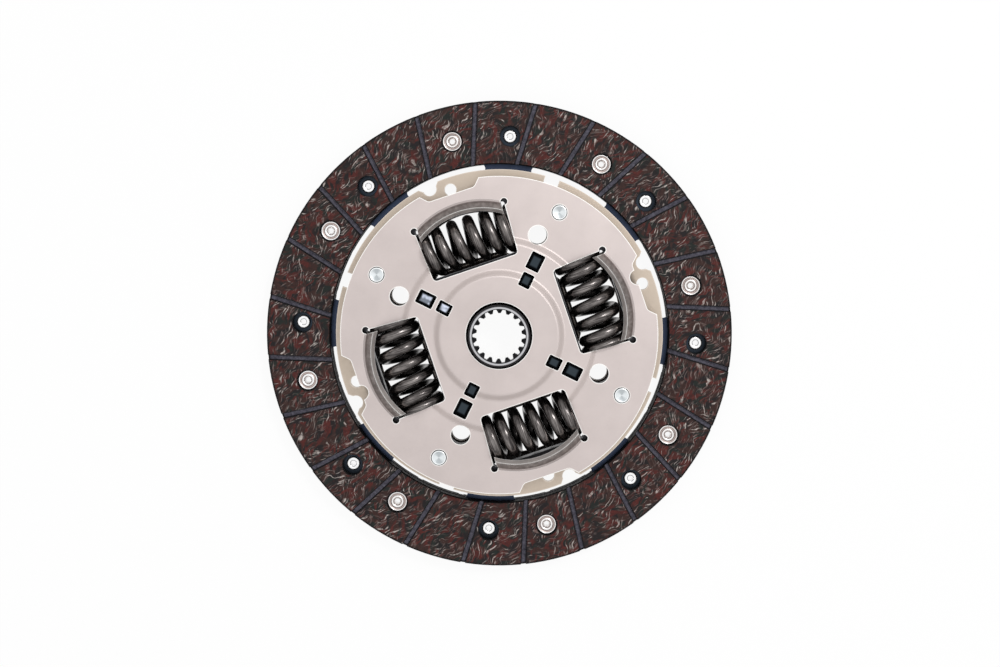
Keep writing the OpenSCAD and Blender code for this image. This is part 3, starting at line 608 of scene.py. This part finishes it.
def spunPiece(name, node, profile, closed, rings, mats, centre, flip=False):
    bm = bmesh.new()
    points = [bm.verts.new((reach, 0, height)) for reach, height in profile]
    pairs = list(zip(points, points[1:])) + ([(points[-1], points[0])] if closed else [])
    lines = [bm.edges.new(pair) for pair in pairs]
    bmesh.ops.spin(bm, geom=points + lines, axis=(0, 0, 1), cent=(0, 0, 0), steps=spun["steps"],
                   angle=2 * math.pi, use_merge=True)
    bmesh.ops.remove_doubles(bm, verts=bm.verts, dist=spun["weld"])
    finishRings(bm, rings)
    if flip:
        bmesh.ops.rotate(bm, verts=bm.verts, cent=(0, 0, 0), matrix=Matrix.Rotation(math.pi, 3, "X"))
    bmesh.ops.recalc_face_normals(bm, faces=bm.faces)
    mapTurns(bm)
    bmesh.ops.translate(bm, verts=bm.verts, vec=centre)
    bmesh.ops.scale(bm, verts=bm.verts, vec=(mm, mm, mm))
    piece = addPiece(name, bm, mats, spun["crease"])
    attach(piece, "plates")
    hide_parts(node)


# facing rivets: height 0 is the clamped face of the facing, the flanged head is above it

rivet = {
    "head": {"colour": paint(255, 249, 246), "rough": 0.3, "marks": 0.15, "grain": 2500, "mottle": 0.1},
    "headRings": {"colour": paint(182, 167, 162), "rough": 0.42, "marks": 0.2, "grain": 2500, "mottle": 0.15},
    "rolled": {"colour": paint(255, 255, 255), "rough": 0.24, "marks": 0.05, "grain": 2500, "mottle": 0.04},
    "rolledRings": {"colour": paint(172, 174, 178), "rough": 0.4, "marks": 0.1, "grain": 2500, "mottle": 0.1},
    "rolledEnd": [(1.05, -1.15), (1.14, -1.38), (1.36, -1.52), (1.75, -1.59), (2.1, -1.6), (2.38, -1.52),
                  (2.56, -1.35), (2.64, -1.12), (2.6, -0.88), (2.46, -0.73), (2.2, -0.7)],
    "shank": [(2.0, -0.7), (2.0, 1.7), (3.55, 1.7), (3.7, 1.82)],
    "flange": [(3.7, 2.24), (3.66, 2.35), (3.56, 2.4), (3.3, 2.4), (3.18, 2.32), (3.02, 2.18), (2.7, 2.1)],
    "crown": [(2.52, 2.14), (2.4, 2.26), (2.22, 2.38), (1.95, 2.4), (1.72, 2.35), (1.55, 2.2)],
    "hollow": [(1.35, 2.0), (1.16, 1.8), (1.05, 1.5)],
    "rolledHeight": 1.6,
    # faces between two radii, and which of the finishes they get; finish 1 is duller, and darker as painted
    # shade in the grooves and slopes
    "rings": [(2.45, 3.2, 1), (1.3, 1.5, 1)],
}


def makeRivet(number, side, mats):
    node = f"facing_rivet_{side}_{number}"
    profile = rivet["rolledEnd"] + rivet["shank"] + rivet["flange"] + rivet["crown"] + rivet["hollow"]
    low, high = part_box(node)
    flip = side == "rear"
    seat = high[2] / mm - rivet["rolledHeight"] if flip else low[2] / mm + rivet["rolledHeight"]
    centre = ((low[0] + high[0]) / 2 / mm, (low[1] + high[1]) / 2 / mm, seat)
    spunPiece(f"tubular_rivet_{side}_{number}", node, profile, True, rivet["rings"], mats,
              centre, flip)


# rivets with their heads on the flywheel side show their brighter rolled ends
headMats = [makeMetal("rivetSteel", rivet["head"]), makeMetal("rivetDullAndShaded", rivet["headRings"])]
rolledMats = [makeMetal("rolledSteel", rivet["rolled"]), makeMetal("rolledDullAndShaded", rivet["rolledRings"])]
for number in range(1, 9):
    makeRivet(number, "front", headMats)
    makeRivet(number, "rear", rolledMats)
print("rivets set")


# stop pins, shouldered between the plates, with a turned front face

pin = {
    "steel": {"colour": paint(246, 249, 250), "rough": 0.26, "grain": 1800, "mottle": 0.04},
    # painted shadow: the dark rim colour round the head, for the gap round the pin
    "rim": {"colour": paint(62, 60, 62), "rough": 0.4, "mottle": 0.1},
    "face": {"rough": 0.3, "grain": 1800},
    # painted highlight: light and dim wedges on the front face
    "light": paint(234, 239, 241), "dim": paint(184, 190, 193),
    "wedges": 2, "wedgeSoft": (-0.8, 0.8), "toolMarks": 70, "markDepth": 0.25,
    "rearEnd": [(0.0, 0.06), (2.0, 0.03), (2.3, 0.0), (2.68, 0.03), (2.88, 0.16), (3.0, 0.4), (3.0, 3.15)],
    "shoulder": [(3.9, 3.15), (4.0, 3.25), (4.0, 10.65), (3.9, 10.75)],
    "frontEnd": [(3.0, 10.75), (3.0, 12.8), (2.9, 13.02), (2.72, 13.17), (2.5, 13.2), (2.3, 13.16),
                 (2.1, 13.08), (0.0, 13.0)],
    "rings": [(0.0, 2.3, 1), (2.7, 4.1, 2)],
}


def wedgeHighlightFace(mat, place, shade):
    # painted highlight: the face is painted with two light wedges between two dim ones, as facing marks catch
    # the light, and with fine rings of tool marks
    spot = splitPlace(mat, addNode(mat, "TexCoord").outputs["UV"])
    wedge = mathOn(mat, "COSINE", timesOn(mat, spot["X"], pin["wedges"] * 2 * math.pi))
    marks = mathOn(mat, "SINE", timesOn(mat, spot["Y"], pin["toolMarks"]))
    marks = rangeOn(mat, marks, -1.0, 1.0, -pin["markDepth"], pin["markDepth"])
    light = mathOn(mat, "ADD", rangeOn(mat, wedge, *pin["wedgeSoft"]), marks)
    return mixOn(mat, light, pin["dim"], pin["light"])


def makePin(number, mats):
    node = f"stop_pin_{number}"
    profile = pin["rearEnd"] + pin["shoulder"] + pin["frontEnd"]
    low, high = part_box(node)
    centre = ((low[0] + high[0]) / 2 / mm, (low[1] + high[1]) / 2 / mm, low[2] / mm)
    spunPiece(f"shouldered_pin_{number}", node, profile, False, pin["rings"], mats, centre)


pinMats = [makeMetal("pinSteel", pin["steel"]), makeMetal("pinFace", pin["face"], wedgeHighlightFace),
           makeMetal("pinRimShade", pin["rim"])]
for number in range(1, 5):
    makePin(number, pinMats)
print("stop pins set")


# damper springs: smooth round wire, ends ground flat

spring = {
    # in mm
    "radius": 37.9, "outside": 19.2, "wire": 4.2, "length": 34.7, "height": 10.0,
    "leans": [-0.5, -0.8, 0.8, -0.2], "weld": 0.001,
    # in turns of the wire, then as a share of its thickness
    "turns": 6, "closedTurns": 0.78, "ease": 0.6, "tail": 0.45, "closing": 0.86, "seated": 0.11,
    # in degrees
    "taper": 3.5, "firstTurn": 18.75, "ends": [-6, 219, 3, 190], "crease": 40,
    "steps": 40, "roundness": 5,
    # the third, near black colour is painted shade low on the coils between the plates
    "black": paint(60, 56, 56), "streak": paint(162, 156, 153), "coilShade": paint(12, 11, 11),
    "lines": (110, 2600, 110), "lined": (0.35, 0.65),
    "smudges": (260, 420, 260), "smudged": (0.35, 0.7, 0.0, 0.7),
    "coilShadeTo": inMm(7.5, 11.5), "facingOut": (-0.2, 0.1), "coilShadeShare": 0.85,
    "sheen": (0.3, 0.7, 0.2, 0.36), "bump": (0.012 * mm, 1.0),
    "ground": {
        "colour": paint(170, 164, 160), "rough": 0.42, "marks": 0.3, "grain": 2500, "mottle": 0.2,
        # painted highlight on the rims of the ground ends; the usual cut colour paints their upright faces
        # dark as painted shade
        "bump": 0.02 * mm, "edge": paint(230, 226, 222), "edgeShare": 0.6,
    },
}


def springTurn(number):
    return math.radians(spring["firstTurn"] + 90 * (number - 1))


def coilHeight(turn):
    # place along the axis: open in the middle, closed at both ends
    endTurn = spring["turns"] / 2
    closedAt = endTurn - spring["closedTurns"]
    ease = spring["ease"]
    closedPitch = spring["closing"] * spring["wire"]
    seated = spring["length"] / 2 - spring["seated"] * spring["wire"]
    freePitch = closedPitch + (seated - closedPitch * endTurn) / closedAt
    size = abs(turn)
    if size <= closedAt - ease:
        opened = size
    elif size >= closedAt + ease:
        opened = closedAt
    else:
        opened = size - (size - closedAt + ease) ** 2 / (4 * ease)
    return math.copysign(closedPitch * size + (freePitch - closedPitch) * opened, turn)


def windWire(phase, lean):
    # a straight coil along Y, with tails that are ground away
    coilRadius = (spring["outside"] - spring["wire"]) / 2
    span = spring["turns"] + 2 * spring["tail"]
    steps = round(span * spring["steps"])
    wire = bpy.data.curves.new("wire", "CURVE")
    wire.dimensions = "3D"
    wire.bevel_depth = spring["wire"] / 2
    wire.bevel_resolution = spring["roundness"]
    wire.use_fill_caps = True
    path = wire.splines.new("POLY")
    path.points.add(steps)
    for k in range(steps + 1):
        turn = (k / steps - 0.5) * span
        angle = 2 * math.pi * turn + phase
        along = coilHeight(turn) - lean / 2 * math.cos(angle)
        path.points[k].co = (coilRadius * math.sin(angle), along, coilRadius * math.cos(angle), 1)
    holder = bpy.data.objects.new("wire", wire)
    bpy.context.scene.collection.objects.link(holder)
    shape = holder.evaluated_get(bpy.context.evaluated_depsgraph_get()).to_mesh()
    bm = bmesh.new()
    bm.from_mesh(shape)
    bpy.data.objects.remove(holder)
    bmesh.ops.remove_doubles(bm, verts=bm.verts, dist=spring["weld"])
    return bm


def grindEnds(bm):
    for way in (-1, 1):
        cut = bmesh.ops.bisect_plane(
            bm, geom=bm.verts[:] + bm.edges[:] + bm.faces[:],
            plane_co=(0, way * spring["length"] / 2, 0), plane_no=(0, way, 0), clear_outer=True)
        rim = [item for item in cut["geom_cut"] if isinstance(item, bmesh.types.BMEdge)]
        for face in bmesh.ops.holes_fill(bm, edges=rim, sides=0)["faces"]:
            face.material_index = 1


def bowInto(bm, place):
    # the spring bows round the axis, so that its ends meet the tapered window ends
    bow = spring["length"] / 2 / math.tan(math.radians(spring["taper"]))
    for vert in bm.verts:
        bend = vert.co.y / bow
        reach = bow + vert.co.x
        spot = (spring["radius"] - bow + reach * math.cos(bend), reach * math.sin(bend),
                spring["height"] + vert.co.z)
        vert.co = place @ Vector(spot) * mm


def makeSpring(number, mats):
    place = Matrix.Rotation(springTurn(number), 4, "Z")
    bm = windWire(math.radians(spring["ends"][number - 1]), spring["leans"][number - 1])
    grindEnds(bm)
    bowInto(bm, place)
    bmesh.ops.recalc_face_normals(bm, faces=bm.faces)
    piece = addPiece(f"coil_{number}", bm, mats, spring["crease"])
    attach(piece, "springs")
    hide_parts(f"damper_spring_{number}")
    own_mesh(piece)


def makeSpringSteel(number):
    # drawing lines run along the wire, across the axis of its own spring
    mat, shader = newSurface(f"springSteel_{number}", Metallic=1.0)
    ownTurn = (0, 0, -springTurn(number))
    along = addNode(mat, "Mapping", {"Vector": objectPlace(mat), "Rotation": ownTurn}).outputs[0]
    lines = noiseOn(mat, along, 1, roughness=0.6, stretch=spring["lines"])
    smudges = noiseOn(mat, along, 1, roughness=0.6, stretch=spring["smudges"])
    shade = mixOn(mat, rangeOn(mat, lines, *spring["lined"]), spring["black"], spring["streak"])
    shade = mixOn(mat, rangeOn(mat, smudges, *spring["smudged"]), shade, spring["black"])
    # painted shade: low on the coil, between the plates, the wire is painted dark where it faces up or
    # sideways
    low = fallOn(mat, splitPlace(mat, along)["Z"], *spring["coilShadeTo"])
    facing = rangeOn(mat, splitPlace(mat, normalOn(mat))["Z"], *spring["facingOut"])
    inShade = timesOn(mat, low, facing)
    shade = mixOn(mat, timesOn(mat, inShade, spring["coilShadeShare"]), shade, spring["coilShade"])
    plug(mat, shader, Base_Color=shade, Roughness=rangeOn(mat, lines, *spring["sheen"]),
         Normal=bumpOn(mat, lines, *spring["bump"]))
    return mat


groundSteel = makeMetal("groundSteel", spring["ground"])
for number in range(1, 5):
    makeSpring(number, [makeSpringSteel(number), groundSteel])
print("springs wound")


# floor, light and camera

studio = {
    "floorSize": 3, "floorDrop": 0.05 * mm, "floorShade": 0.93, "floorGlow": 0.92,
    # brightness of the room from the horizon up
    "room": [(0.0, 0.95), (0.04, 0.95), (0.14, 0.32), (0.4, 0.32), (0.62, 0.98), (1.0, 0.98)],
    "lampSize": 0.17, "lampPlace": (0.34, 0.4, 0.78), "lampPower": 2.3,
    "cameraPlace": inMm(5, 50, 528.3), "sensor": 36, "lens": 48.385, "shift": (-0.01229, -0.1296),
    "nearest": 10 * mm,
}


def makeFloor():
    bm = bmesh.new()
    bmesh.ops.create_grid(bm, x_segments=1, y_segments=1, size=studio["floorSize"])
    mesh = bpy.data.meshes.new("floor")
    bm.to_mesh(mesh)
    bm.free()
    mat = bpy.data.materials.new("paleFloor")
    mat.use_nodes = True
    tree = mat.node_tree
    tree.nodes.clear()
    matte = addNode(mat, "BsdfDiffuse", {"Color": grey(studio["floorShade"])})
    glow = addNode(mat, "Emission", {"Color": grey(1), "Strength": 1.0})
    light = addNode(mat, "LightPath").outputs
    seen = mathOn(mat, "ADD", light["Is Camera Ray"], light["Is Glossy Ray"])
    seen = mathOn(mat, "ADD", seen, light["Is Transmission Ray"])
    share = timesOn(mat, mathOn(mat, "MINIMUM", seen, 1.0), studio["floorGlow"])
    both = addNode(mat, "MixShader", {0: share, 1: matte.outputs[0], 2: glow.outputs[0]})
    addNode(mat, "OutputMaterial", {"Surface": both.outputs[0]})
    mesh.materials.append(mat)
    floor = bpy.data.objects.new("floor", mesh)
    bpy.context.scene.collection.objects.link(floor)
    floor.location.z = -studio["floorDrop"]


def makeLight():
    world = bpy.data.worlds.new("studio")
    bpy.context.scene.world = world
    world.use_nodes = True
    way = splitPlace(world, addNode(world, "TexCoord").outputs["Generated"])["Z"]
    room = rampOn(world, way, [(height, grey(shade)) for height, shade in studio["room"]])
    world.node_tree.links.new(room, world.node_tree.nodes["Background"].inputs["Color"])
    lamp = bpy.data.lights.new("softbox", "AREA")
    lamp.shape = "SQUARE"
    lamp.size = studio["lampSize"]
    lamp.energy = studio["lampPower"]
    box = bpy.data.objects.new("softbox", lamp)
    box.location = studio["lampPlace"]
    box.rotation_euler = Vector(studio["lampPlace"]).to_track_quat("Z", "Y").to_euler()
    bpy.context.scene.collection.objects.link(box)


def makeCamera():
    data = bpy.data.cameras.new("camera")
    data.sensor_width = studio["sensor"]
    data.lens = studio["lens"]
    data.shift_x, data.shift_y = studio["shift"]
    data.clip_start = studio["nearest"]
    camera = bpy.data.objects.new("camera", data)
    camera.location = studio["cameraPlace"]
    bpy.context.scene.collection.objects.link(camera)
    bpy.context.scene.camera = camera


makeFloor()
makeLight()
makeCamera()
bpy.context.scene.view_settings.view_transform = "Standard"
print("studio set")
